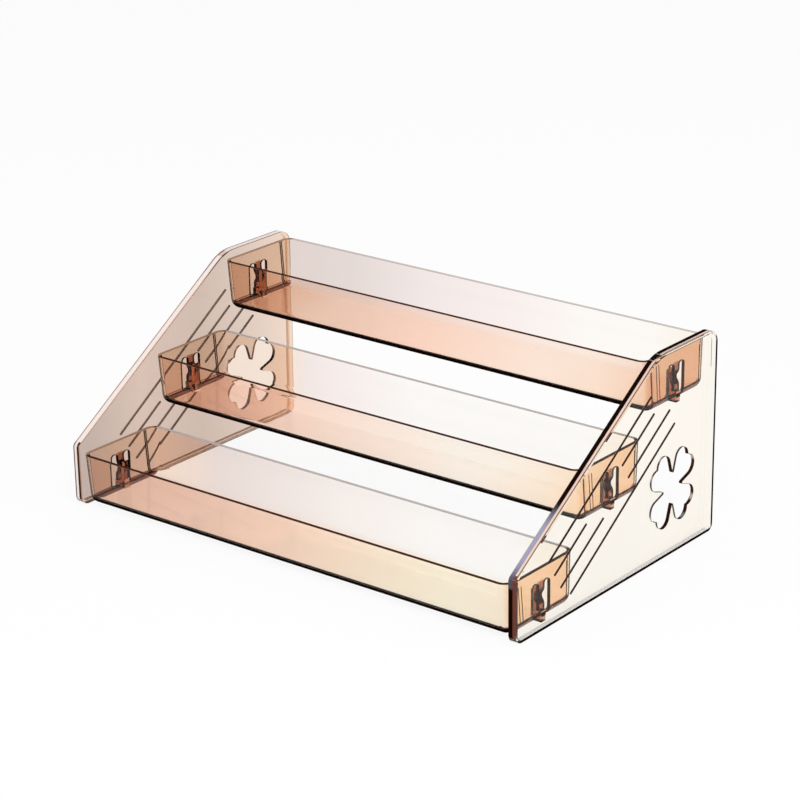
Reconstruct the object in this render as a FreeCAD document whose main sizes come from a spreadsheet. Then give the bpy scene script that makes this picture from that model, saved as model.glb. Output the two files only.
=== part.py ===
import FreeCAD, Part
import math
import os
import Sketcher

# Stepped display rack of clear plastic: three open trays clipped between two side panels.
# X runs along the trays, Y from the front to the back and Z up from the ground.
# The origin lies on the ground, in the middle of the rack's width and depth.

SIZES = {
    # Whole rack
    "rack_width": 302.0,
    "panel_end_gap": 1.0,
    # Steps: each tray stands behind and above the one before it
    "tray_gap": 2.7,
    "step_rise": 40.5,
    "ground_gap": 1.5,
    # Outline of a side panel
    "front_cover": 4.6,
    "top_cover": 4.0,
    "slope_end_offset": 3.8,
    "front_foot_radius": 5.0,
    "front_top_radius": 3.0,
    "slope_top_radius": 25.0,
    "back_top_radius": 8.0,
    "back_foot_radius": 4.0,
    # Section of a side panel: a thin plate, and a rim that stands out round its outer face
    "plate_thickness": 2.1,
    "rim_thickness": 4.7,
    "rim_width": 1.5,
    # Clover cut-out: each leaf is two circles, and a cleft lies between two leaves
    "clover_from_back": 36.2,
    "clover_above_ground": 35.5,
    "leaf_radius": 5.9,
    "leaf_near_offset": 8.6,
    "leaf_far_offset": 14.7,
    "leaf_notch_radius": 0.6,
    "cleft_radius": 0.8,
    "cleft_offset": 9.7,
    # Slanted grooves in a panel's inner face, counted from the uppermost
    "groove_width": 1.3,
    "groove_depth": 0.7,
    "groove_height": 10.3,
    "groove_spacing": 12.35,
    "groove_1_from_front": 32.5,
    "groove_1_from_back": 57.5,
    "groove_2_from_front": 38.0,
    "groove_2_before_lug": 23.9,
    "groove_2_after_lug": 8.5,
    "groove_2_from_back": 54.6,
    "groove_3_from_front": 43.4,
    "groove_3_before_lug": 8.6,
    "groove_3_after_lug": 14.2,
    "groove_3_from_back": 39.8,
    "groove_4_from_front": 52.0,
    "groove_4_from_back": 34.8,
    # Tray
    "tray_depth": 57.3,
    "tray_height": 29.2,
    "wall_thickness": 2.0,
    "front_lean": 2.8,
    "back_lean": 1.0,
    "tray_edge_radius": 6.0,
    # Bent tongue between two slots in each end wall of a tray
    "tongue_width": 4.4,
    "slot_width": 5.0,
    "slot_sill": 3.2,
    "slot_top": 21.6,
    "slot_top_round": 2.0,
    "seat_height": 6.0,
    "bulge": 1.6,
    "bulge_height": 13.3,
    "bend_radius": 4.0,
    # Hooked lug on the panel, which stands behind the tongue
    "bulge_clearance": 0.4,
    "lug_side_clearance": 0.3,
    "lug_end_clearance": 0.3,
    "hook_thickness": 2.4,
    "hook_height": 17.5,
    "hook_tip_round": 1.1,
    "hook_elbow_round": 2.0,
    "hook_throat_round": 0.8,
}

TRAYS = ("bottom_tray", "middle_tray", "top_tray")
QUARTER_TURN = math.pi / 2


class Size:
    """A length in millimetres, kept with the sheet expression that gives it."""

    def __init__(self, number, text):
        self.number = number
        self.text = text

    def __add__(self, other):
        other = as_size(other)
        return Size(self.number + other.number, f"({self.text} + {other.text})")

    def __sub__(self, other):
        other = as_size(other)
        return Size(self.number - other.number, f"({self.text} - {other.text})")

    def __mul__(self, other):
        other = as_size(other)
        return Size(self.number * other.number, f"({self.text} * {other.text})")

    def __truediv__(self, other):
        other = as_size(other)
        return Size(self.number / other.number, f"({self.text} / {other.text})")

    def __neg__(self):
        return self * -1

    def root(self):
        return Size(math.sqrt(self.number), f"sqrt({self.text})")


def as_size(value):
    if isinstance(value, Size):
        return value
    return Size(value, f"({value})")


def cell(name):
    return Size(SIZES[name], f"Sheet.{name}")


# Sizes that follow from the ones in the sheet

step_run = cell("tray_depth") + cell("tray_gap")
rack_depth = step_run * len(TRAYS)
front_edge_height = cell("ground_gap") + cell("tray_height") + cell("front_cover")
slope_end = step_run * (len(TRAYS) - 1) + cell("slope_end_offset")
top_rim_height = cell("ground_gap") + cell("step_rise") * (len(TRAYS) - 1) + cell("tray_height")
panel_height = top_rim_height + cell("top_cover")
panel_inner_face = cell("rack_width") / 2 - cell("rim_thickness")
tray_end = panel_inner_face - cell("panel_end_gap")
clip_from_rim = cell("tray_depth") / 2
clover_y = rack_depth - cell("clover_from_back")
clover_z = cell("clover_above_ground")
lug_width = cell("tongue_width") - cell("lug_side_clearance") * 2
bulge_face = tray_end - cell("wall_thickness") - cell("bulge")
hook_face = bulge_face - cell("bulge_clearance")
hook_back = hook_face - cell("hook_thickness")
notch_end = hook_back - cell("lug_end_clearance")
bend_half_height = (cell("bend_radius") * cell("bulge") * 4 - cell("bulge") * cell("bulge")).root()


# Sheet, bodies and features


def make_sheet(document):
    sheet = document.addObject("Spreadsheet::Sheet", "Sheet")
    for row, (name, value) in enumerate(SIZES.items(), start=1):
        sheet.set(f"A{row}", name)
        sheet.set(f"B{row}", str(value))
        sheet.setAlias(f"B{row}", name)
    document.recompute()


def new_body(document, label):
    body = document.addObject("PartDesign::Body", label)
    body.Label = label
    return body


def origin_plane(body, role):
    return next(item for item in body.Origin.OriginFeatures if item.Role == role)


def new_sketch(body, role, name, offset=None):
    """A sketch on one of the body's own planes, moved along that plane's normal by the offset."""
    sketch = body.newObject("Sketcher::SketchObject", name)
    sketch.AttachmentSupport = [(origin_plane(body, role), "")]
    sketch.MapMode = "FlatFace"
    if offset is not None:
        sketch.setExpression("AttachmentOffset.Base.z", offset.text)
    return sketch


def new_feature(body, kind, name, sketch=None, length=None, both_sides=False):
    feature = body.newObject(f"PartDesign::{kind}", name)
    if sketch is not None:
        feature.Profile = sketch
    if length is not None:
        feature.setExpression("Length", length.text)
    if both_sides:
        feature.SideType = "Symmetric"
    return feature


def round_edges(body, name, radius, test):
    """Round those edges of the body so far whose two ends pass the test."""
    body.Document.recompute()
    base = body.Tip
    names = []
    for number, edge in enumerate(base.Shape.Edges, start=1):
        ends = [vertex.Point for vertex in edge.Vertexes]
        if len(ends) == 2 and test(*ends):
            names.append(f"Edge{number}")
    fillet = new_feature(body, "Fillet", name)
    fillet.Base = (base, names)
    fillet.setExpression("Radius", radius.text)


def close(first, second):
    return abs(first - second) < 0.01


def lies_at(**place):
    """A test for points that all have the given coordinates."""

    def test(*points):
        return all(
            close(getattr(point, axis), as_size(size).number)
            for point in points
            for axis, size in place.items()
        )

    return test


# Drawing in sketches: each point is a pair of sizes, across and up


def heading(start, end):
    return math.atan2(end[1].number - start[1].number, end[0].number - start[0].number)


def distance(start, end):
    return math.hypot(end[0].number - start[0].number, end[1].number - start[1].number)


def bind(sketch, kind, *places, size):
    """Add a dimension whose value comes from the sheet."""
    index = sketch.addConstraint(Sketcher.Constraint(kind, *places, size.number))
    sketch.setExpression(f"Constraints[{index}]", size.text)


def hold(sketch, curve, point, place):
    """Hold a curve's point at a place measured from the sketch's origin."""
    bind(sketch, "DistanceX", -1, 1, curve, point, size=as_size(place[0]))
    bind(sketch, "DistanceY", -1, 1, curve, point, size=as_size(place[1]))


def draw_line(sketch, start, end):
    return sketch.addGeometry(Part.LineSegment(start, end), False)


def draw_polygon(sketch, corners):
    """A closed outline of straight lines, each corner held at its place."""
    points = [FreeCAD.Vector(as_size(across).number, as_size(up).number, 0) for across, up in corners]
    lines = [draw_line(sketch, start, end) for start, end in zip(points, points[1:] + points[:1])]
    for line, before, corner in zip(lines, lines[-1:] + lines[:-1], corners):
        sketch.addConstraint(Sketcher.Constraint("Coincident", before, 2, line, 1))
        hold(sketch, line, 1, corner)


def draw_free_arc(sketch, centre, radius, start_angle, end_angle):
    """An arc that turns counter-clockwise, held only by its radius."""
    middle = FreeCAD.Vector(centre[0].number, centre[1].number, 0)
    circle = Part.Circle(middle, FreeCAD.Vector(0, 0, 1), radius.number)
    arc = sketch.addGeometry(Part.ArcOfCircle(circle, start_angle, end_angle), False)
    bind(sketch, "Radius", arc, size=radius)
    return arc


def draw_arc(sketch, centre, radius, start_angle, end_angle):
    """An arc that turns counter-clockwise, held by its centre and radius."""
    arc = draw_free_arc(sketch, centre, radius, start_angle, end_angle)
    hold(sketch, arc, 3, centre)
    return arc


def run_smoothly(sketch, curve, point, following, following_point):
    """Join two curves end to end with no corner between them."""
    sketch.addConstraint(Sketcher.Constraint("Tangent", curve, point, following, following_point))


# Side panel: its sketches measure from the panel's front edge and from the ground


def panel_corners(inset):
    """The corners of a side panel's outline, set in from its edges."""
    rise = (panel_height - front_edge_height) / slope_end
    slant = (rise * rise + 1).root()
    return {
        "front_foot": (inset, inset),
        "front_top": (inset, front_edge_height + inset * (rise - slant)),
        "slope_top": (slope_end + inset * (slant - 1) / rise, panel_height - inset),
        "back_top": (rack_depth - inset, panel_height - inset),
        "back_foot": (rack_depth - inset, inset),
    }


def add_outline(body, kind, name, face, inset, depth):
    """The panel's outline, set in, and raised or sunk outwards from a face."""
    sketch = new_sketch(body, "YZ_Plane", f"{name}_outline", face)
    draw_polygon(sketch, list(panel_corners(inset).values()))
    feature = new_feature(body, kind, name, sketch, depth)
    feature.Reversed = kind == "Pocket"


def round_corners(body, name, inset):
    """Give each corner of the set-in outline its round, smaller by the inset."""
    for corner, (across, up) in panel_corners(inset).items():
        radius = cell(f"{corner}_radius") - inset
        round_edges(body, f"{name}_{corner}", radius, lies_at(y=across, z=up))


def add_plate(body):
    """The plate as thick as its rim, and the shallow recess that leaves the rim round it."""
    rim_width = cell("rim_width")
    recess_face = panel_inner_face + cell("plate_thickness")
    recess_depth = cell("rim_thickness") - cell("plate_thickness")
    add_outline(body, "Pad", "plate", panel_inner_face, as_size(0), cell("rim_thickness"))
    add_outline(body, "Pocket", "recess", recess_face, rim_width, recess_depth)
    round_corners(body, "recess", rim_width)
    round_corners(body, "plate", as_size(0))


def clover_circles():
    """For each leaf the cleft tip before it and its two circles, going round the clover."""
    low = (cell("leaf_far_offset"), cell("leaf_near_offset"))
    high = (cell("leaf_near_offset"), cell("leaf_far_offset"))
    side_tip = (cell("cleft_offset"), as_size(0))
    upper_tip = (as_size(0), cell("cleft_offset"))
    for side, up, circles in (
        (1, 1, (side_tip, low, high)),
        (-1, 1, (upper_tip, high, low)),
        (-1, -1, (side_tip, low, high)),
        (1, -1, (upper_tip, high, low)),
    ):
        yield [(clover_y + across * side, clover_z + above * up) for across, above in circles]


def notch_centre(first, second, reach):
    """Centre of the small round outside the place where a leaf's two circles cross."""
    out = heading(first, second) - QUARTER_TURN
    rise = math.sqrt(reach**2 - (distance(first, second) / 2) ** 2)
    across = (first[0].number + second[0].number) / 2 + rise * math.cos(out)
    up = (first[1].number + second[1].number) / 2 + rise * math.sin(out)
    return (as_size(across), as_size(up))


def cut_clover(body):
    """The four-leaf clover: leaf circles, and straight flanks that cross to the clefts' round tips."""
    sketch = new_sketch(body, "YZ_Plane", "clover_outline", panel_inner_face)
    leaf_radius = cell("leaf_radius")
    tip_radius = cell("cleft_radius")
    notch_radius = cell("leaf_notch_radius")
    both = leaf_radius.number + tip_radius.number
    leaves = list(clover_circles())

    # Directions of the flank that runs into each leaf and of the one that leaves it
    ways = []
    for (tip, first, second), (next_tip, *rest) in zip(leaves, leaves[1:] + leaves[:1]):
        way_in = heading(tip, first) - math.asin(both / distance(tip, first))
        way_out = heading(second, next_tip) + math.asin(both / distance(second, next_tip))
        ways.append((way_in, way_out))

    arcs = []
    for (tip, first, second), way, way_before in zip(leaves, ways, ways[-1:] + ways[:-1]):
        way_in, way_out = way
        notch = notch_centre(first, second, leaf_radius.number + notch_radius.number)
        arcs.append(
            (
                draw_arc(sketch, tip, tip_radius, way_in + QUARTER_TURN, way_before[1] + QUARTER_TURN),
                draw_arc(sketch, first, leaf_radius, way_in - QUARTER_TURN, heading(first, notch)),
                draw_free_arc(sketch, notch, notch_radius, heading(notch, second), heading(notch, first)),
                draw_arc(sketch, second, leaf_radius, heading(second, notch), way_out - QUARTER_TURN),
            )
        )

    for (tip, first, notch, second), (next_tip, *rest) in zip(arcs, arcs[1:] + arcs[:1]):
        flank_in = draw_line(sketch, sketch.getPoint(tip, 1), sketch.getPoint(first, 1))
        flank_out = draw_line(sketch, sketch.getPoint(second, 2), sketch.getPoint(next_tip, 2))
        run_smoothly(sketch, tip, 1, flank_in, 1)
        run_smoothly(sketch, flank_in, 2, first, 1)
        run_smoothly(sketch, first, 2, notch, 2)
        run_smoothly(sketch, notch, 1, second, 1)
        run_smoothly(sketch, second, 2, flank_out, 1)
        run_smoothly(sketch, flank_out, 2, next_tip, 2)
    cut = new_feature(body, "Pocket", "clover", sketch)
    cut.Type = "ThroughAll"
    cut.Reversed = True


def draw_slot(sketch, start, end, width):
    """A groove's outline: two straight sides and two round ends."""
    radius = width / 2
    way = heading(start, end)
    first = draw_arc(sketch, start, radius, way + QUARTER_TURN, way - QUARTER_TURN)
    last = draw_arc(sketch, end, radius, way - QUARTER_TURN, way + QUARTER_TURN)
    lower = draw_line(sketch, sketch.getPoint(first, 2), sketch.getPoint(last, 1))
    upper = draw_line(sketch, sketch.getPoint(last, 2), sketch.getPoint(first, 1))
    run_smoothly(sketch, first, 2, lower, 1)
    run_smoothly(sketch, lower, 2, last, 1)
    run_smoothly(sketch, last, 2, upper, 1)
    sketch.addConstraint(Sketcher.Constraint("Coincident", upper, 2, first, 1))


def cut_grooves(body):
    """Shallow grooves that rise with the steps, broken where the middle tray's lug stands."""
    middle_lug = step_run + clip_from_rim
    grooves = (
        (0, cell("groove_1_from_front"), rack_depth - cell("groove_1_from_back")),
        (1, cell("groove_2_from_front"), middle_lug - cell("groove_2_before_lug")),
        (1, middle_lug + cell("groove_2_after_lug"), rack_depth - cell("groove_2_from_back")),
        (2, cell("groove_3_from_front"), middle_lug - cell("groove_3_before_lug")),
        (2, middle_lug + cell("groove_3_after_lug"), rack_depth - cell("groove_3_from_back")),
        (3, cell("groove_4_from_front"), rack_depth - cell("groove_4_from_back")),
    )
    slope = cell("step_rise") / step_run
    sketch = new_sketch(body, "YZ_Plane", "groove_outlines", panel_inner_face)
    for row, front, back in grooves:
        base = cell("groove_height") - cell("groove_spacing") * row
        draw_slot(sketch, (front, base + slope * front), (back, base + slope * back), cell("groove_width"))
    cut = new_feature(body, "Pocket", "grooves", sketch, cell("groove_depth"))
    cut.Reversed = True


def add_lug(body, step):
    """The hooked lug that carries a tray: an arm out of the panel and a hook that stands up."""
    underside = cell("ground_gap") + cell("step_rise") * step
    seat = underside + cell("seat_height")
    tip = underside + cell("hook_height")
    # This plane's normal points to the front
    sketch = new_sketch(body, "XZ_Plane", f"lug_{step}_outline", -(step_run * step + clip_from_rim))
    corners = [
        (panel_inner_face, underside),
        (panel_inner_face, seat),
        (hook_face, seat),
        (hook_face, tip),
        (hook_back, tip),
        (hook_back, underside),
    ]
    draw_polygon(sketch, corners)
    new_feature(body, "Pad", f"lug_{step}", sketch, lug_width, both_sides=True)
    round_edges(body, f"lug_{step}_elbow", cell("hook_elbow_round"), lies_at(x=hook_back, z=underside))
    round_edges(body, f"lug_{step}_throat", cell("hook_throat_round"), lies_at(x=hook_face, z=seat))
    round_edges(body, f"lug_{step}_face_tip", cell("hook_tip_round"), lies_at(x=hook_face, z=tip))
    round_edges(body, f"lug_{step}_back_tip", cell("hook_tip_round"), lies_at(x=hook_back, z=tip))


def make_panel(document, label):
    body = new_body(document, label)
    body.setExpression("Placement.Base.y", (-rack_depth / 2).text)
    add_plate(body)
    cut_clover(body)
    cut_grooves(body)
    for step in range(len(TRAYS)):
        add_lug(body, step)
    return body


def make_opposite_panel(document, label, panel):
    """The other side panel, which is the mirror image of the first."""
    mirror = document.addObject("Part::Mirroring", label)
    mirror.Label = label
    mirror.Source = panel
    mirror.Normal = FreeCAD.Vector(1, 0, 0)
    return mirror


# Tray: its sketches measure from the rim's front edge and from the tray's underside


def add_block(body, kind, name, half_length, floor, wall):
    """A block with leaning front and back, set in from the tray's outside by a floor and walls."""
    height = cell("tray_height")
    front_slant = (cell("front_lean") * cell("front_lean") / height / height + 1).root()
    back_slant = (cell("back_lean") * cell("back_lean") / height / height + 1).root()
    front = wall * front_slant
    back = cell("tray_depth") - wall * back_slant
    above_floor = (height - floor) / height
    sketch = new_sketch(body, "YZ_Plane", f"{name}_profile")
    corners = [
        (front + cell("front_lean") * above_floor, floor),
        (back - cell("back_lean") * above_floor, floor),
        (back, height),
        (front, height),
    ]
    draw_polygon(sketch, corners)
    return new_feature(body, kind, name, sketch, half_length * 2, both_sides=True)


def below_rim(half_length):
    """A test for a block's upright edges and those round its foot."""
    at_rim = lies_at(z=cell("tray_height"))

    def test(start, end):
        at_ends = all(close(abs(point.x), half_length.number) for point in (start, end))
        return at_ends and not at_rim(start, end)

    return test


def add_tray_shell(body):
    """An open tray that widens upwards, with round corners and foot and walls of one thickness."""
    wall = cell("wall_thickness")
    inner_end = tray_end - wall
    add_block(body, "Pad", "block", tray_end, as_size(0), as_size(0))
    add_block(body, "Pocket", "cavity", inner_end, wall, wall)
    round_edges(body, "inner_rounds", cell("tray_edge_radius") - wall, below_rim(inner_end))
    round_edges(body, "outer_rounds", cell("tray_edge_radius"), below_rim(tray_end))


def cut_slots(body):
    """Two upright slots in each end wall, one on each side of the tongue."""
    sill = cell("slot_sill")
    top = cell("slot_top")
    sketch = new_sketch(body, "YZ_Plane", "slot_outlines")
    for side in (-1, 1):
        near = clip_from_rim + cell("tongue_width") / 2 * side
        far = near + cell("slot_width") * side
        draw_polygon(sketch, [(near, sill), (far, sill), (far, top), (near, top)])
    new_feature(body, "Pocket", "slots", sketch, tray_end * 2 + cell("panel_end_gap"), both_sides=True)

    # The edges that cross the end wall
    at_top = lies_at(z=top)

    def across_top(start, end):
        return at_top(start, end) and close(start.y, end.y)

    round_edges(body, "slot_tops", cell("slot_top_round"), across_top)


def draw_bend(sketch, outside):
    """Outline between a wall face and the tongue's bent face, which swings inwards and back."""
    half_wall = cell("wall_thickness") / 2
    bend = cell("bend_radius")
    end_radius = bend + half_wall if outside else bend - half_wall
    crown_radius = bend - half_wall if outside else bend + half_wall
    turn = math.acos(1 - cell("bulge").number / (2 * bend.number))
    end_x = tray_end - half_wall - bend
    height = cell("bulge_height")
    below = (end_x, height - bend_half_height)
    middle = (end_x + bend * 2 - cell("bulge"), height)
    above = (end_x, height + bend_half_height)
    first = draw_arc(sketch, below, end_radius, 0, turn)
    crown = draw_free_arc(sketch, middle, crown_radius, math.pi - turn, math.pi + turn)
    last = draw_free_arc(sketch, above, end_radius, -turn, 0)
    back = draw_line(sketch, sketch.getPoint(last, 2), sketch.getPoint(first, 1))
    bind(sketch, "DistanceY", -1, 1, crown, 3, size=height)
    bind(sketch, "DistanceX", -1, 1, last, 3, size=end_x)
    run_smoothly(sketch, first, 2, crown, 2)
    run_smoothly(sketch, crown, 1, last, 1)
    run_smoothly(sketch, last, 2, back, 1)
    run_smoothly(sketch, back, 2, first, 1)


def shape_tongues(body):
    """Bend the tongues and open the notches below them, at one end and mirrored at the other."""
    notch_sketch = new_sketch(body, "XZ_Plane", "notch_outline", -clip_from_rim)
    outside = tray_end + cell("panel_end_gap")
    corners = [
        (notch_end, -cell("ground_gap")),
        (outside, -cell("ground_gap")),
        (outside, cell("seat_height")),
        (notch_end, cell("seat_height")),
    ]
    draw_polygon(notch_sketch, corners)
    notch = new_feature(body, "Pocket", "notch", notch_sketch, cell("tongue_width"), both_sides=True)
    crown_sketch = new_sketch(body, "XZ_Plane", "crown_outline", -clip_from_rim)
    draw_bend(crown_sketch, outside=False)
    crown = new_feature(body, "Pad", "crown", crown_sketch, cell("tongue_width"), both_sides=True)
    hollow_sketch = new_sketch(body, "XZ_Plane", "hollow_outline", -clip_from_rim)
    draw_bend(hollow_sketch, outside=True)
    hollow = new_feature(body, "Pocket", "hollow", hollow_sketch, cell("tongue_width"), both_sides=True)
    mirrored = new_feature(body, "Mirrored", "other_end")
    mirrored.Originals = [notch, crown, hollow]
    mirrored.MirrorPlane = (origin_plane(body, "YZ_Plane"), [""])
    body.Tip = mirrored


def make_tray(document, label, step):
    body = new_body(document, label)
    body.setExpression("Placement.Base.y", (step_run * step - rack_depth / 2).text)
    body.setExpression("Placement.Base.z", (cell("ground_gap") + cell("step_rise") * step).text)
    add_tray_shell(body)
    cut_slots(body)
    shape_tongues(body)
    return body


def check(document, pieces):
    """Stop if any object failed, a pocket took nothing away, or a piece is not one sound solid."""
    document.recompute()
    for item in document.Objects:
        if "Invalid" in item.State or "Error" in item.State:
            raise RuntimeError(f"{item.Label} failed: {item.State}")
        if item.TypeId == "PartDesign::Pocket" and item.Shape.Volume > item.BaseFeature.Shape.Volume - 1:
            raise RuntimeError(f"{item.Label} took nothing away")
    for piece in pieces:
        shape = piece.Shape
        if shape.isNull() or not shape.isValid() or len(shape.Solids) != 1:
            raise RuntimeError(f"{piece.Label} is not one sound solid")


document = FreeCAD.newDocument("display_rack")
make_sheet(document)
right_panel = make_panel(document, "right_side_panel")
left_panel = make_opposite_panel(document, "left_side_panel", right_panel)
trays = [make_tray(document, label, step) for step, label in enumerate(TRAYS)]
pieces = [right_panel, left_panel, *trays]
check(document, pieces)

os.makedirs("parts", exist_ok=True)
for piece in pieces:
    piece.Shape.exportStep(f"parts/{piece.Label}.step")
    print(piece.Label, "volume", round(piece.Shape.Volume), piece.Shape.BoundBox)
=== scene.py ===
import math

import bpy
from mathutils import Euler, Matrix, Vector

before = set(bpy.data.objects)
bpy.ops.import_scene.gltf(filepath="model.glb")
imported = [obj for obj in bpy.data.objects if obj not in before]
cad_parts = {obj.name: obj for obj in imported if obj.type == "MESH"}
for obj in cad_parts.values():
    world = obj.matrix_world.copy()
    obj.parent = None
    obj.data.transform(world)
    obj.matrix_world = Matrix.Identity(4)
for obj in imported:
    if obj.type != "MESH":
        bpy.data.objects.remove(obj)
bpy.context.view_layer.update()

# Camera, fitted to the rack's edges: metres, degrees and millimetres of lens.
# The photograph is cropped off centre, so its lens looks at PHOTO_CENTRE_X.
CAMERA_PLACE = (0.845, -1.040, 0.574)
CAMERA_AZIMUTH = 36.53
CAMERA_ELEVATION = 20.70
CAMERA_LENS = 119.34
SENSOR_WIDTH = 36.0
PHOTO_SIDE = 800
PHOTO_CENTRE_X = 500

# Studio: metres, watts, and colours from 0 to 1
FLOOR_HALF = 6.0
FLOOR_DROP = 0.0002
FLOOR_COLOUR = (0.95, 0.95, 0.95)
FLOOR_GLOW = 0.9
WORLD_STRENGTH = 0.8
WORLD_WHITE = (1.0, 1.0, 1.0)
CEILING_GREY = (0.25, 0.23, 0.22)
CEILING_START = 0.55
CEILING_FADE = 0.15
KEY_PLACE = (0.8, -0.6, 1.2)
KEY_AIM = (0, 0, 0.05)
KEY_SIZE = 0.9
KEY_POWER = 12

# Places on the rack, in millimetres
RACK_DEPTH = 180.0
STEP_RUN = 60.0
STEP_RISE = 40.5
GROUND_GAP = 1.5
TRAY_HEIGHT = 29.2
FRONT_LEAN = 2.8
BACK_LEAN = 0.08
WALL_INNER = 143.3
WALL_OUTER = 145.3
CLIP_MIDDLE = 28.65
PANEL_INNER = 146.3
PLATE_OUTER = 148.4
RIM_OUTER = 151.0
RIM_WIDTH = 1.5
PANEL_HEIGHT = 115.7
FRONT_EDGE_HEIGHT = 35.3
SLOPE_END = 123.8
CLOVER_Y = 53.8
CLOVER_Z = 35.5
MM_PER_METRE = 1000.0

# The plastic. Its shine is held low, because the photograph shows hardly any
# reflection. Light loses colour on its way through, red the least.
TRAY_IOR = 1.3
PANEL_IOR = 1.2
PLASTIC_SHINE = (0.25, 0.25, 0.25)
SPECULAR_LEVEL = 0.5
MATT = 0.6
ABSORPTION_COLOUR = (0.96, 0.8, 0.6)
ABSORPTION_DENSITY = 50.0

# Fine handling scratches set the roughness, and moulding waves the bump
SCRATCH_NOISE = {"Scale": 1.1, "Detail": 6.0}
SCRATCH_RANGE = (0.45, 0.8)
SCRATCH_ROUGHNESS = (0.01, 0.06)
WAVE_NOISE = {"Scale": 0.05, "Detail": 1.0}
WAVE_BUMP = {"Strength": 0.15, "Distance": 0.0004}

# Sockets of Blender's Mix node where it mixes colours
MIX_FIRST = 6
MIX_SECOND = 7
MIX_RESULT = 2

# Tints along the rack: millimetres from its middle, then the colour there. Over the
# plastic's own amber they carry painted shade, darker and browner towards the left, and
# the end walls' stronger tints are painted shade as well
TRAY_TINTS_AND_SHADE = {
    "bottom_tray": {
        "front": (
            (-140, (0.9, 0.73, 0.64)),
            (-90, (0.94, 0.78, 0.71)),
            (-10, (1.0, 0.87, 0.79)),
            (70, (1.0, 0.96, 0.87)),
            (115, (1.0, 0.98, 0.9)),
            (140, (1.0, 0.94, 0.86)),
        ),
        "back": (
            (-140, (0.97, 0.79, 0.66)),
            (-112, (0.92, 0.78, 0.71)),
            (-95, (0.86, 0.77, 0.75)),
            (0, (0.98, 0.935, 0.91)),
            (60, (1.0, 1.0, 1.0)),
            (110, (1.0, 1.0, 1.0)),
            (135, (1.0, 0.95, 0.89)),
        ),
        "left_end": (0.89, 0.73, 0.61),
        "right_end": (0.99, 0.69, 0.48),
    },
    "middle_tray": {
        "front": (
            (-140, (0.99, 0.79, 0.69)),
            (-90, (1.0, 0.85, 0.79)),
            (-10, (1.0, 0.925, 0.88)),
            (70, (1.0, 0.99, 0.97)),
            (120, (1.0, 0.94, 0.86)),
            (140, (1.0, 0.87, 0.75)),
        ),
        "back": (
            (-140, (0.94, 0.81, 0.71)),
            (-108, (0.95, 0.82, 0.73)),
            (-95, (0.98, 0.83, 0.72)),
            (-80, (0.93, 0.86, 0.84)),
            (-60, (0.97, 0.895, 0.895)),
            (0, (1.0, 1.0, 1.0)),
            (110, (1.0, 1.0, 1.0)),
            (135, (1.0, 0.94, 0.87)),
        ),
        "left_end": (0.81, 0.66, 0.54),
        "right_end": (0.98, 0.71, 0.51),
    },
    "top_tray": {
        "front": (
            (-140, (0.84, 0.62, 0.5)),
            (-95, (0.92, 0.78, 0.71)),
            (-10, (1.0, 0.85, 0.78)),
            (70, (1.0, 0.925, 0.88)),
            (115, (0.99, 0.88, 0.81)),
            (140, (0.95, 0.78, 0.68)),
        ),
        "back": (
            (-140, (0.79, 0.7, 0.68)),
            (-95, (0.81, 0.74, 0.725)),
            (-40, (0.92, 0.85, 0.845)),
            (15, (0.975, 0.905, 0.9)),
            (70, (1.0, 0.99, 0.98)),
            (110, (1.0, 0.99, 0.98)),
            (135, (1.0, 0.94, 0.88)),
        ),
        "left_end": (0.84, 0.7, 0.585),
        "right_end": (0.81, 0.48, 0.32),
    },
}
# Tints from a panel's front to its back, in the same form. The left panel's darker, greyer
# tints are painted shade
PANEL_TINTS_AND_SHADE = {
    "right_side_panel": ((-90, (1.0, 0.99, 0.94)), (90, (1.0, 0.975, 0.92))),
    "left_side_panel": (
        (-80, (0.57, 0.47, 0.43)),
        (-40, (0.72, 0.57, 0.5)),
        (10, (0.66, 0.53, 0.47)),
        (50, (0.76, 0.63, 0.56)),
        (85, (0.88, 0.72, 0.63)),
    ),
}

# Painted shade and painted highlights for the edges and cut faces, where the plastic traps
# its light: the dark colours paint the shade there, the pale ones the light
SHADE_BLACK = (0.008, 0.003, 0.002)
SHADE_BROWN_BLACK = (0.03, 0.006, 0.004)
SHADE_DARK_BROWN = (0.06, 0.022, 0.013)
SHADE_RED_BROWN = (0.17, 0.05, 0.035)
GROOVE_SHADE_BROWN = (0.2, 0.13, 0.1)
SHADE_MID_BROWN = (0.4, 0.14, 0.07)
SHADE_WARM_BROWN = (0.42, 0.26, 0.18)
SHADE_ORANGE_BROWN = (0.7, 0.38, 0.25)
HIGHLIGHT_PALE_BROWN = (0.9, 0.76, 0.64)
PAINTED_EDGE_PEACH = (0.85, 0.64, 0.55)
SHADE_LAVENDER = (0.34, 0.33, 0.44)
HIGHLIGHT_ROSE = (0.94, 0.85, 0.83)
HIGHLIGHT_WHITE = (0.95, 0.94, 0.93)
SHADE_RIM_GREY = (0.6, 0.55, 0.53)


def band(direction, start=None, end=None, fade=0.1):
    """The area from start to end along a direction, in millimetres.

    None leaves that end open. The sum of two areas is where they meet.
    """
    return ((direction, start, end, fade),)


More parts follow.
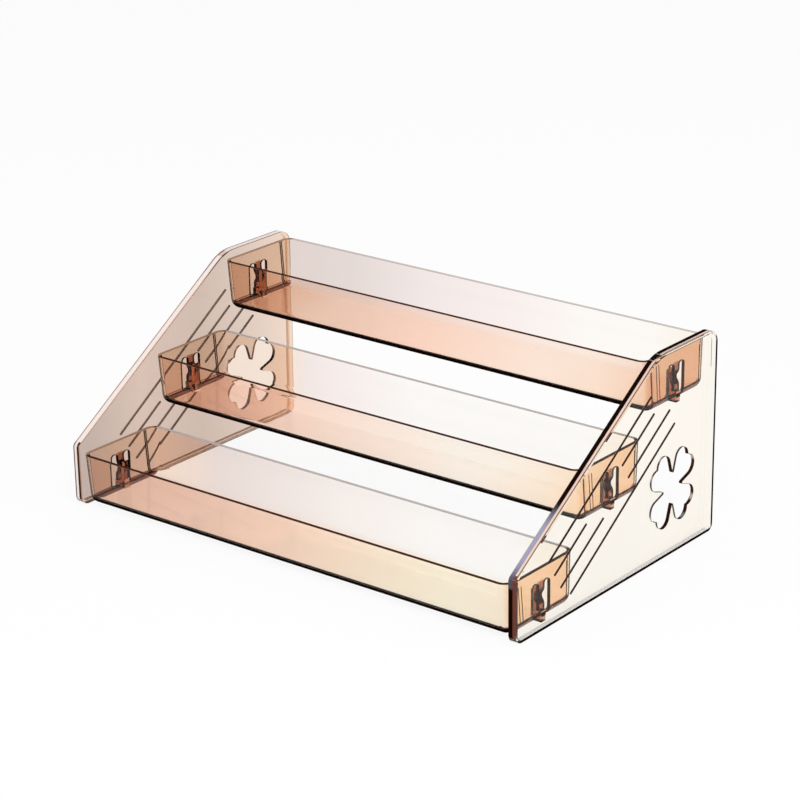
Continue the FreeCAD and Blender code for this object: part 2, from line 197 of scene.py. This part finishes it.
# Areas on a tray. Up and back run from its own foot and front, across from the
# rack's middle, from_wall from the leaning front wall, and from_clip from the
# middle of the tongue. back_bend leans as the bend at the back corner does.
LEFT = band("x", end=0, fade=1)
RIGHT = band("x", start=0, fade=1)
BACK_WALL = band("back", start=53, fade=1)
END_WALL = band("across", start=142.5, fade=1)
END_FOOT = band("across", start=141, fade=0.4)
CORNER = band("across", start=142.4, fade=0.2)
RIGHT_CORNER = RIGHT + band("across", start=143.6)
RIGHT_FACE = RIGHT + band("across", start=144.9)
CORNER_FOOT = RIGHT_FACE + band("up", end=5.2, fade=0.3)
NEEDLE = RIGHT_FACE + band("up", 4, 25.5, 0.2)
RIM = band("up", start=TRAY_HEIGHT - 0.2)
CLIP = band("up", 0.5, 21.9)
TONGUE = (
    CLIP
    + band("from_clip", end=2.35, fade=0.05)
    + band("across", start=140.5, fade=0.3)
)
SLOT_CUT = (
    CLIP
    + band("from_clip", end=7.4, fade=0.05)
    + band("across", WALL_INNER + 0.15, WALL_OUTER - 0.15, 0.08)
)

# Marks on a tray, from the first painted to the last: the colour, how opaque it is, and
# the areas where it lies. All are painted shade: dark lines on the feet, bends, rims,
# tongues and cut faces, where the plastic bends the light away
TRAY_MARKS = {
    "foot": (SHADE_RED_BROWN, 0.5, END_FOOT + band("up", end=2.5, fade=0.2)),
    "right_foot": (
        SHADE_MID_BROWN,
        0.3,
        END_FOOT + RIGHT + band("up", end=4.6, fade=0.2),
    ),
    "right_foot_line": (
        SHADE_RED_BROWN,
        1.0,
        RIGHT + band("across", start=142.2, fade=0.2) + band("up", end=2.4, fade=0.2),
    ),
    "floor_line": (
        SHADE_RED_BROWN,
        0.0,
        band("across", start=141.4, fade=0.3) + band("up", 2.9, 3.7, 0.15),
    ),
    "right_floor_line": (
        SHADE_BROWN_BLACK,
        1.0,
        RIGHT_FACE + band("up", 4.7, 5.7),
        CORNER_FOOT + band("from_wall", end=4, fade=0.3),
        CORNER_FOOT + band("back", start=54.6, fade=0.2),
    ),
    "front_foot": (
        SHADE_BLACK,
        1.0,
        band("up", end=4.1) + band("back", end=7.2, fade=0.3),
    ),
    "left_bends": (
        SHADE_DARK_BROWN,
        0.9,
        LEFT + CORNER + band("from_wall", 3.4, 4.4, 0.25),
        LEFT + CORNER + band("back_bend", 50.6, 51.6, 0.2),
    ),
    "right_bends_and_needles": (
        SHADE_BROWN_BLACK,
        0.9,
        RIGHT_CORNER + band("from_wall", 3.4, 4.2, 0.25),
        RIGHT_CORNER + band("back", start=54),
        NEEDLE + band("from_wall", 7.8, 8.5),
        NEEDLE + band("from_wall", 10.2, 10.9),
        NEEDLE + band("back", 49.4, 50.2),
    ),
    "front_bend": (
        SHADE_DARK_BROWN,
        0.7,
        LEFT + band("across", 141.5, 142.3, 0.2) + band("from_wall", end=1.4),
    ),
    "rim": (SHADE_DARK_BROWN, 1.0, RIM),
    "left_rim": (SHADE_WARM_BROWN, 1.0, RIM + LEFT + END_WALL),
    "back_rim": (SHADE_RIM_GREY, 0.8, RIM + BACK_WALL + band("across", end=141, fade=1)),
    "tongues": (SHADE_MID_BROWN, 0.0, TONGUE),
    "tongue_cuts": (SHADE_RED_BROWN, 0.3, TONGUE + band("from_clip", start=2.1, fade=0.05)),
    "slot_cuts": (SHADE_BROWN_BLACK, 1.0, SLOT_CUT),
}

# Areas on a panel. Inset runs in from the outline's straight edges, from_clover
# from the clover's middle, and off_steps up from the line of the trays' steps.
GROOVES = (
    band("across", PANEL_INNER + 0.1, PANEL_INNER + 0.85, 0.04)
    + band("off_steps", -28.5, 12.0, 0.2)
    + band("z", start=4.0, fade=0.2)
    + band("from_front", start=4.0, fade=0.2)
)
CLOVER_CUT = (
    band("from_clover", end=23.0, fade=0.5)
    + band("across", PANEL_INNER + 0.1, PLATE_OUTER - 0.1, 0.05)
)
LUGS = band("across", end=PANEL_INNER - 0.3, fade=0.2)
EDGE = (
    band("inset", end=0.35)
    + band("across", PANEL_INNER + 0.08, RIM_OUTER - 0.05, 0.03)
)
NEAR_EDGE = EDGE + band("from_front", end=RACK_DEPTH - 3.0, fade=0.5)
RIM_WALL = (
    band("inset", 1.1, 1.9)
    + band("across", PLATE_OUTER + 0.1, RIM_OUTER - 0.1, 0.05)
)
RIM_FACE = (
    band("inset", end=RIM_WIDTH + 0.2)
    + band("across", start=RIM_OUTER - 0.1, fade=0.05)
)
LOW = band("z", end=RIM_WIDTH + 0.1)
FAR = band("from_front", start=RACK_DEPTH - RIM_WIDTH - 0.1)
FRONT = band("from_front", end=2.2, fade=0.2)
FRONT_FOOT = band("z", end=1.6, fade=0.3) + band("from_front", end=12.0, fade=1.0)
LOW_SLOPE = band("from_front", 3.0, 34.0, 8.0) + band("z", start=30.0, fade=1.0)
TOP = band("z", start=106.0, fade=5.0)
INNER_LINE = band("across", end=PANEL_INNER + 0.8)
FRONT_LINE = band("across", PANEL_INNER + 0.6, PLATE_OUTER + 0.1)
PLATE_LINE = band("across", end=PLATE_OUTER + 0.5)
OUTER_LINE = band("across", start=RIM_OUTER - 0.7)

# Marks on each panel, in the same form: painted shade on the grooves, lugs, cuts and edge
# lines, and painted highlights on the pale edge bands
PANEL_MARKS = {
    "right_side_panel": {
        "grooves": (SHADE_BROWN_BLACK, 1.0, GROOVES),
        "clover_cut": (SHADE_BROWN_BLACK, 0.8, CLOVER_CUT),
        "lugs": (SHADE_MID_BROWN, 0.0, LUGS),
        "near_edge": (PAINTED_EDGE_PEACH, 0.7, NEAR_EDGE),
        "outer_line": (SHADE_RED_BROWN, 0.9, NEAR_EDGE + OUTER_LINE),
        "front_edge": (SHADE_RED_BROWN, 0.9, EDGE + FRONT),
        "plate_line": (SHADE_BLACK, 1.0, NEAR_EDGE + PLATE_LINE),
        "low_slope_line": (SHADE_LAVENDER, 0.8, EDGE + PLATE_LINE + LOW_SLOPE),
        "front_wall": (SHADE_DARK_BROWN, 0.6, RIM_WALL + FRONT),
        "low_wall": (HIGHLIGHT_WHITE, 0.8, RIM_WALL + LOW),
        "far_wall": (HIGHLIGHT_WHITE, 0.0, RIM_WALL + FAR),
        "rim_face": (SHADE_BLACK, 1.0, RIM_FACE + LOW, RIM_FACE + FAR),
    },
    "left_side_panel": {
        "grooves": (GROOVE_SHADE_BROWN, 0.7, GROOVES),
        "clover_cut": (SHADE_DARK_BROWN, 0.2, CLOVER_CUT),
        "lugs": (SHADE_MID_BROWN, 0.0, LUGS),
        "edge": (HIGHLIGHT_PALE_BROWN, 0.0, EDGE),
        "edge_lines": (SHADE_WARM_BROWN, 0.0, EDGE + INNER_LINE, EDGE + OUTER_LINE),
        "near_edge": (HIGHLIGHT_ROSE, 0.7, NEAR_EDGE),
        "inner_line": (SHADE_ORANGE_BROWN, 0.6, NEAR_EDGE + INNER_LINE),
        "outer_line": (SHADE_WARM_BROWN, 0.6, NEAR_EDGE + OUTER_LINE),
        "top_lines": (
            SHADE_RED_BROWN,
            0.8,
            NEAR_EDGE + TOP + INNER_LINE,
            NEAR_EDGE + TOP + OUTER_LINE,
        ),
        "front_lines": (
            SHADE_DARK_BROWN,
            1.0,
            EDGE + FRONT + FRONT_LINE,
            EDGE + FRONT + OUTER_LINE,
        ),
        "front_foot": (SHADE_WARM_BROWN, 0.9, EDGE + FRONT_FOOT),
        "rim_wall": (HIGHLIGHT_PALE_BROWN, 0.0, RIM_WALL),
        "rim_face": (HIGHLIGHT_PALE_BROWN, 0.0, RIM_FACE + LOW, RIM_FACE + FAR),
    },
}


class Nodes:
    """The nodes of one tree. A value is a number, a colour or a node's output."""

    def __init__(self, tree):
        self.tree = tree

    def add(self, kind, inputs=None, **settings):
        node = self.tree.nodes.new(kind)
        for name, setting in settings.items():
            setattr(node, name, setting)
        for name, value in (inputs or {}).items():
            self.feed(node.inputs[name], value)
        return node

    def feed(self, socket, value):
        if isinstance(value, bpy.types.NodeSocket):
            self.tree.links.new(value, socket)
        elif isinstance(value, tuple):
            socket.default_value = (*value, 1)
        else:
            socket.default_value = value

    def calc(self, operation, *values):
        inputs = dict(enumerate(values))
        return self.add("ShaderNodeMath", inputs, operation=operation).outputs[0]

    def both(self, first, *others):
        for other in others:
            first = self.calc("MULTIPLY", first, other)
        return first

    def either(self, first, *others):
        for other in others:
            first = self.calc("MAXIMUM", first, other)
        return first

    def scaled(self, value, low, high, to_low=0.0, to_high=1.0, kind="LINEAR"):
        """The value's stretch from low to high, spread over another stretch."""
        inputs = {
            "Value": value,
            "From Min": low,
            "From Max": high,
            "To Min": to_low,
            "To Max": to_high,
        }
        return self.add("ShaderNodeMapRange", inputs, interpolation_type=kind).outputs[0]

    def inside(self, value, start, end, fade):
        """1 from start to end and 0 outside, where None is an open end."""
        masks = [
            self.scaled(value, edge - fade, edge + fade, outer, 1 - outer, "SMOOTHSTEP")
            for edge, outer in ((start, 0.0), (end, 1.0))
            if edge is not None
        ]
        return self.both(*masks)

    def blend(self, mask, first, second, name=""):
        """The first colour where the mask is 0 and the second where it is 1."""
        inputs = {"Factor": mask, MIX_FIRST: first, MIX_SECOND: second}
        node = self.add("ShaderNodeMix", inputs, data_type="RGBA", label=name)
        return node.outputs[MIX_RESULT]

    def along(self, value, tints):
        """A colour that changes smoothly with the value through the given tints."""
        low, high = tints[0][0], tints[-1][0]
        ramp = self.add("ShaderNodeValToRGB", {0: self.scaled(value, low, high)})
        stops = ramp.color_ramp.elements
        while len(stops) < len(tints):
            stops.new(0.5)
        for stop, (place, colour) in zip(stops, tints):
            stop.position = (place - low) / (high - low)
            stop.color = (*colour, 1)
        return ramp.outputs["Color"]


class Plastic(Nodes):
    """A clear plastic. Marks paint shade and highlights into its tint, and make it opaque
    and matt.
    """

    def __init__(self, name):
        self.material = bpy.data.materials.new(name)
        self.material.use_nodes = True
        super().__init__(self.material.node_tree)
        coordinates = self.add("ShaderNodeTexCoord").outputs["Object"]
        inputs = {0: coordinates, "Scale": MM_PER_METRE}
        self.place = self.add("ShaderNodeVectorMath", inputs, operation="SCALE").outputs[0]
        x, y, z = self.add("ShaderNodeSeparateXYZ", {0: self.place}).outputs
        self.directions = {
            "x": x,
            "y": y,
            "z": z,
            "across": self.calc("ABSOLUTE", x),
            "from_front": self.calc("ADD", y, RACK_DEPTH / 2),
        }
        self.masks = {}
        self.tint = None
        self.opaque = 0.0

    def band_mask(self, part):
        if part not in self.masks:
            direction, *limits = part
            self.masks[part] = self.inside(self.directions[direction], *limits)
        return self.masks[part]

    def mask(self, *areas):
        """1 in any of the areas and 0 outside them."""
        meets = (self.both(*(self.band_mask(part) for part in area)) for area in areas)
        return self.either(*meets)

    def mark(self, name, colour, opaque, *areas):
        mask = self.mask(*areas)
        self.tint = self.blend(mask, self.tint, colour, name)
        if opaque:
            self.opaque = self.either(self.opaque, self.calc("MULTIPLY", mask, opaque))

    def finish(self, ior):
        """The material, with all that its marks leave the same."""
        scratches = self.add("ShaderNodeTexNoise", {**SCRATCH_NOISE, "Vector": self.place})
        polished = self.scaled(scratches.outputs[0], *SCRATCH_RANGE, *SCRATCH_ROUGHNESS)
        waves = self.add("ShaderNodeTexNoise", {**WAVE_NOISE, "Vector": self.place})
        bump = self.add("ShaderNodeBump", {**WAVE_BUMP, "Height": waves.outputs[0]})
        surface = {
            "Base Color": self.tint,
            "IOR": ior,
            "Specular Tint": PLASTIC_SHINE,
            "Specular IOR Level": self.scaled(self.opaque, 0.0, 1.0, SPECULAR_LEVEL, 0.0),
            "Transmission Weight": self.calc("SUBTRACT", 1.0, self.opaque),
            "Roughness": self.scaled(self.opaque, 0.0, 1.0, polished, MATT),
            "Normal": bump.outputs[0],
        }
        shader = self.tree.nodes["Principled BSDF"]
        for name, value in surface.items():
            self.feed(shader.inputs[name], value)

        inputs = {"Color": ABSORPTION_COLOUR, "Density": ABSORPTION_DENSITY}
        volume = self.add("ShaderNodeVolumeAbsorption", inputs).outputs[0]
        self.feed(self.tree.nodes["Material Output"].inputs["Volume"], volume)
        return self.material


def tray_plastic(name, step):
    """Amber, with painted shade that darkens it towards the left, and painted shade where
    bent and cut edges trap the light.
    """
    tints = TRAY_TINTS_AND_SHADE[name]
    plastic = Plastic(f"amber_{name}")
    places = plastic.directions
    back = plastic.calc("SUBTRACT", places["from_front"], STEP_RUN * step)
    up = plastic.calc("SUBTRACT", places["z"], GROUND_GAP + STEP_RISE * step)
    lean = plastic.scaled(up, 0.0, TRAY_HEIGHT, FRONT_LEAN, 0.0)
    places["back"] = back
    places["up"] = up
    places["from_wall"] = plastic.calc("SUBTRACT", back, lean)
    places["back_bend"] = plastic.calc("MULTIPLY_ADD", up, BACK_LEAN, back)
    behind_clip = plastic.calc("SUBTRACT", back, CLIP_MIDDLE)
    places["from_clip"] = plastic.calc("ABSOLUTE", behind_clip)

    # Painted shade along the rack: darker towards the left, and on the end walls
    plastic.tint = plastic.along(places["x"], tints["front"])
    plastic.mark("back", plastic.along(places["x"], tints["back"]), 0.0, BACK_WALL)
    end_tint_and_shade = plastic.blend(plastic.mask(RIGHT), tints["left_end"], tints["right_end"])
    plastic.mark("ends", end_tint_and_shade, 0.0, END_WALL)
    # Painted shade lines on the feet, bends, rims, tongues and cut faces
    for mark, (colour, opaque, *areas) in TRAY_MARKS.items():
        plastic.mark(mark, colour, opaque, *areas)
    return plastic.finish(TRAY_IOR)


def outline_inset(plastic):
    """Distance in from the panel's straight edges."""
    from_front = plastic.directions["from_front"]
    z = plastic.directions["z"]
    slope = (PANEL_HEIGHT - FRONT_EDGE_HEIGHT) / SLOPE_END
    slope_height = plastic.calc("MULTIPLY_ADD", from_front, slope, FRONT_EDGE_HEIGHT)
    below_slope = plastic.calc("SUBTRACT", slope_height, z)
    inset = plastic.calc("DIVIDE", below_slope, math.hypot(1, slope))
    from_back = plastic.calc("SUBTRACT", RACK_DEPTH, from_front)
    from_top = plastic.calc("SUBTRACT", PANEL_HEIGHT, z)
    for distance in (z, from_front, from_back, from_top):
        inset = plastic.calc("MINIMUM", inset, distance)
    return inset


def panel_plastic(name):
    """A tinted plate, with painted shade on its lugs, grooves, cut faces and rim, and
    painted highlights on its edges.
    """
    plastic = Plastic(f"clear_{name}")
    places = plastic.directions
    beside = plastic.calc("SUBTRACT", places["y"], CLOVER_Y)
    over = plastic.calc("SUBTRACT", places["z"], CLOVER_Z)
    squares = [plastic.calc("MULTIPLY", offset, offset) for offset in (beside, over)]
    places["from_clover"] = plastic.calc("SQRT", plastic.calc("ADD", *squares))
    places["off_steps"] = plastic.calc(
        "MULTIPLY_ADD", places["from_front"], -STEP_RISE / STEP_RUN, places["z"]
    )
    places["inset"] = outline_inset(plastic)

    # Painted shade in the tint along the panel, then painted shade and highlights from its
    # marks
    plastic.tint = plastic.along(places["y"], PANEL_TINTS_AND_SHADE[name])
    for mark, (colour, opaque, *areas) in PANEL_MARKS[name].items():
        plastic.mark(mark, colour, opaque, *areas)
    return plastic.finish(PANEL_IOR)


def dress(name, material):
    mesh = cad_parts[name].data
    mesh.materials.clear()
    mesh.materials.append(material)


def make_camera():
    data = bpy.data.cameras.new("camera")
    data.sensor_width = SENSOR_WIDTH
    data.lens = CAMERA_LENS
    data.shift_x = (PHOTO_SIDE / 2 - PHOTO_CENTRE_X) / PHOTO_SIDE
    camera = bpy.data.objects.new("camera", data)
    camera.location = CAMERA_PLACE
    tilt = math.radians(90 - CAMERA_ELEVATION)
    camera.rotation_euler = Euler((tilt, 0, math.radians(CAMERA_AZIMUTH)))
    bpy.context.scene.collection.objects.link(camera)
    bpy.context.scene.camera = camera


def seen_directly(nodes):
    """1 for what the camera sees straight, in a reflection or through the plastic."""
    path = nodes.add("ShaderNodeLightPath")
    ways = ("Is Camera Ray", "Is Glossy Ray", "Is Transmission Ray")
    return nodes.either(*(path.outputs[way] for way in ways))


def mix_by_sight(nodes, output, sight, unseen, seen):
    """One shader as light on the scene, and another as what the camera sees."""
    mix = nodes.add("ShaderNodeMixShader", {"Fac": sight, 1: unseen, 2: seen})
    nodes.add(output, {"Surface": mix.outputs[0]})


def make_world():
    """White around the horizon, and a greyer ceiling that darkens bent edges.

    The ceiling shows only in reflections and through the plastic.
    """
    world = bpy.data.worlds.new("studio")
    bpy.context.scene.world = world
    world.use_nodes = True
    world.node_tree.nodes.clear()
    nodes = Nodes(world.node_tree)
    ray = nodes.add("ShaderNodeTexCoord").outputs["Generated"]
    height = nodes.add("ShaderNodeSeparateXYZ", {0: ray}).outputs["Z"]
    high = nodes.inside(height, CEILING_START, None, CEILING_FADE)
    camera_ray = nodes.add("ShaderNodeLightPath").outputs["Is Camera Ray"]
    ceiling = nodes.both(high, nodes.calc("SUBTRACT", 1.0, camera_ray))
    colour = nodes.blend(ceiling, WORLD_WHITE, CEILING_GREY)
    seen = nodes.add("ShaderNodeBackground", {"Color": colour}).outputs[0]
    light = nodes.add("ShaderNodeBackground", {"Strength": WORLD_STRENGTH}).outputs[0]
    mix_by_sight(nodes, "ShaderNodeOutputWorld", seen_directly(nodes), light, seen)


def make_floor():
    """White to the camera, but for a soft shadow."""
    side = FLOOR_HALF
    corners = [(-side, -side, 0), (side, -side, 0), (side, side, 0), (-side, side, 0)]
    mesh = bpy.data.meshes.new("floor")
    mesh.from_pydata(corners, [], [(0, 1, 2, 3)])
    floor = bpy.data.objects.new("floor", mesh)
    bpy.context.scene.collection.objects.link(floor)
    floor.location.z = -FLOOR_DROP
    material = bpy.data.materials.new("floor_white")
    material.use_nodes = True
    material.node_tree.nodes.clear()
    nodes = Nodes(material.node_tree)
    diffuse = nodes.add("ShaderNodeBsdfDiffuse", {"Color": FLOOR_COLOUR}).outputs[0]
    glow = nodes.add("ShaderNodeEmission").outputs[0]
    sight = nodes.calc("MULTIPLY", seen_directly(nodes), FLOOR_GLOW)
    mix_by_sight(nodes, "ShaderNodeOutputMaterial", sight, diffuse, glow)
    mesh.materials.append(material)


def make_key_light():
    data = bpy.data.lights.new("key", "AREA")
    data.size = KEY_SIZE
    data.energy = KEY_POWER
    light = bpy.data.objects.new("key", data)
    light.location = KEY_PLACE
    aim = Vector(KEY_AIM) - Vector(KEY_PLACE)
    light.rotation_euler = aim.to_track_quat("-Z", "Y").to_euler()
    bpy.context.scene.collection.objects.link(light)


make_camera()
make_world()
make_floor()
make_key_light()
for step, name in enumerate(TRAY_TINTS_AND_SHADE):
    dress(name, tray_plastic(name, step))
for name in PANEL_TINTS_AND_SHADE:
    dress(name, panel_plastic(name))

bpy.context.scene.view_settings.view_transform = "Standard"
